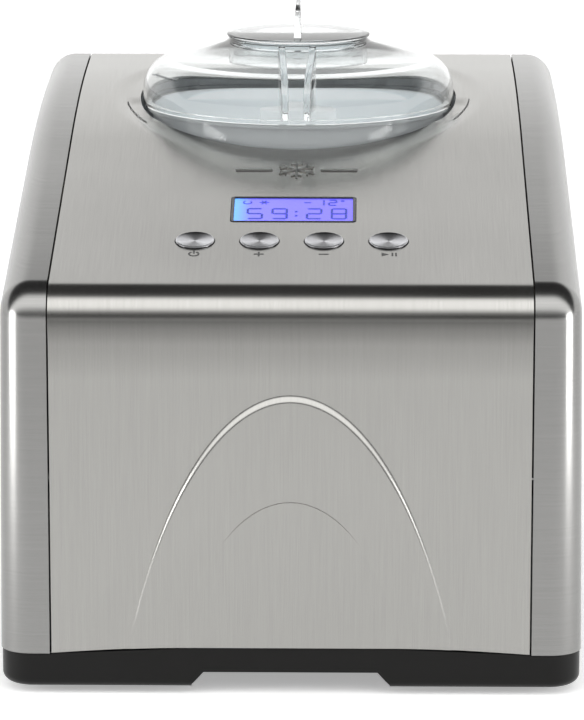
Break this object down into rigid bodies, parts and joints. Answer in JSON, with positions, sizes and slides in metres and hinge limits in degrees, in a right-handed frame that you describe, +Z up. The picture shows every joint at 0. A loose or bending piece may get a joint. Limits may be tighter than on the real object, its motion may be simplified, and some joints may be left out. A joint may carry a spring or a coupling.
{
  "type": "ice cream maker",
  "caption": "Countertop compressor ice cream maker: steel wrapped cabinet, sloping control panel with display, removable bowl, geared paddle and clear domed lid.",
  "frame": {"origin": "centre of the bounding box's bottom, on the plane the rubber feet rest on", "axes": "+Z up, -Y towards the user (the sloping control panel and the embossed front), +X to the user's right"},
  "size_m": [0.288, 0.38, 0.3135],
  "materials": {
    "brushed_sheet": "long straight brushed grain",
    "spun_steel": "circular spun grain",
    "zinc_steel": "dull zinc plate",
    "dark_plastic": "satin moulded",
    "grey_plastic": "satin moulded",
    "white_plastic": "milky translucent",
    "clear_plastic": "clear polished",
    "black_rubber": "matt",
    "bare_aluminium": "fine satin",
    "copper_pipe": "drawn copper",
    "bronze_bush": "sintered bronze",
    "white_foam": "rigid foam",
    "blue_display": "backlit liquid crystal",
    "circuit_board": "solder mask",
    "black_enamel": "gloss enamel"
  },
  "bodies": {
    "root": {"top_front_panel": "brushed_sheet", "left_side_cover": "brushed_sheet", "right_side_cover": "brushed_sheet", "rear_cover": "dark_plastic", "cover_screws": "zinc_steel", "base_pan": "dark_plastic", "rubber_feet": "black_rubber", "opening_ring": "grey_plastic", "cooling_pot": "bare_aluminium", "evaporator_coil": "copper_pipe", "insulation_jacket": "white_foam", "display_window": "clear_plastic", "display_module": "blue_display", "control_board": "circuit_board", "tact_switches": "dark_plastic", "board_carrier": "grey_plastic", "idler_pin": "zinc_steel", "gearbox_housing": "grey_plastic", "gearbox_cover": "grey_plastic", "gearbox_screws": "zinc_steel", "shaft_bush": "bronze_bush", "pot_bush": "bronze_bush", "shaft_seal": "black_rubber", "drive_motor": "zinc_steel", "drive_frame": "zinc_steel", "pot_brackets": "zinc_steel", "compressor": "black_enamel", "compressor_plate": "zinc_steel", "compressor_grommets": "black_rubber", "compressor_bolts": "zinc_steel", "condenser_tube": "copper_pipe", "condenser_fins": "bare_aluminium", "fan_motor": "black_enamel", "fan_shroud": "dark_plastic", "filter_drier": "copper_pipe", "discharge_line": "copper_pipe", "suction_line": "copper_pipe", "capillary_line": "copper_pipe", "power_board": "circuit_board", "cord_gland": "black_rubber"},
    "drive": {"drive_shaft": "zinc_steel", "output_gear": "white_plastic"},
    "idler": {"idler_gear": "white_plastic"},
    "motor_rotor": {"motor_shaft": "zinc_steel", "motor_pinion": "bronze_bush"},
    "fan": {"condenser_fan": "dark_plastic", "fan_shaft": "zinc_steel"},
    "bowl_body": {"bowl": "bare_aluminium"},
    "paddle_body": {"paddle": "white_plastic"},
    "lid_body": {"lid": "clear_plastic"},
    "cap_body": {"refill_cap": "clear_plastic"},
    "button_power_body": {"button_power": "spun_steel"},
    "button_more_body": {"button_more": "spun_steel"},
    "button_less_body": {"button_less": "spun_steel"},
    "button_start_body": {"button_start": "spun_steel"}
  },
  "joints": [
    {"name": "drive_spin", "type": "hinge", "parent": "root", "child": "drive", "pos_m": [0, 0.073, 0.1], "axis": [0, 0, 1], "continuous": true},
    {"name": "idler_spin", "type": "hinge", "parent": "root", "child": "idler", "pos_m": [0, 0.031, 0.085], "axis": [0, 0, 1], "continuous": true},
    {"name": "motor_spin", "type": "hinge", "parent": "root", "child": "motor_rotor", "pos_m": [0.03, 0.031, 0.07], "axis": [0, 0, 1], "continuous": true},
    {"name": "fan_spin", "type": "hinge", "parent": "root", "child": "fan", "pos_m": [-0.072, -0.106, 0.088], "axis": [1, 0, 0], "continuous": true},
    {"name": "bowl_lift", "type": "slide", "parent": "root", "child": "bowl_body", "axis": [0, 0, 1], "range_m": [0, 0.15]},
    {"name": "paddle_spin", "type": "hinge", "parent": "bowl_body", "child": "paddle_body", "pos_m": [0, 0.073, 0.2], "axis": [0, 0, 1], "continuous": true},
    {"name": "lid_lift", "type": "slide", "parent": "bowl_body", "child": "lid_body", "axis": [0, 0, 1], "range_m": [0, 0.08]},
    {"name": "cap_lift", "type": "slide", "parent": "lid_body", "child": "cap_body", "axis": [0, 0, 1], "range_m": [0, 0.05]},
    {"name": "button_power_press", "type": "slide", "parent": "root", "child": "button_power_body", "axis": [0, 0.2351, -0.972], "range_m": [0, 0.0012], "stiffness_N_per_m": 900, "springref_m": -0.0005},
    {"name": "button_more_press", "type": "slide", "parent": "root", "child": "button_more_body", "axis": [0, 0.2351, -0.972], "range_m": [0, 0.0012], "stiffness_N_per_m": 900, "springref_m": -0.0005},
    {"name": "button_less_press", "type": "slide", "parent": "root", "child": "button_less_body", "axis": [0, 0.2351, -0.972], "range_m": [0, 0.0012], "stiffness_N_per_m": 900, "springref_m": -0.0005},
    {"name": "button_start_press", "type": "slide", "parent": "root", "child": "button_start_body", "axis": [0, 0.2351, -0.972], "range_m": [0, 0.0012], "stiffness_N_per_m": 900, "springref_m": -0.0005}
  ],
  "couplings": [
    {"joint": "drive_spin", "follows": "paddle_spin", "ratio": 1},
    {"joint": "idler_spin", "follows": "paddle_spin", "ratio": -3},
    {"joint": "motor_spin", "follows": "paddle_spin", "ratio": 12}
  ]
}
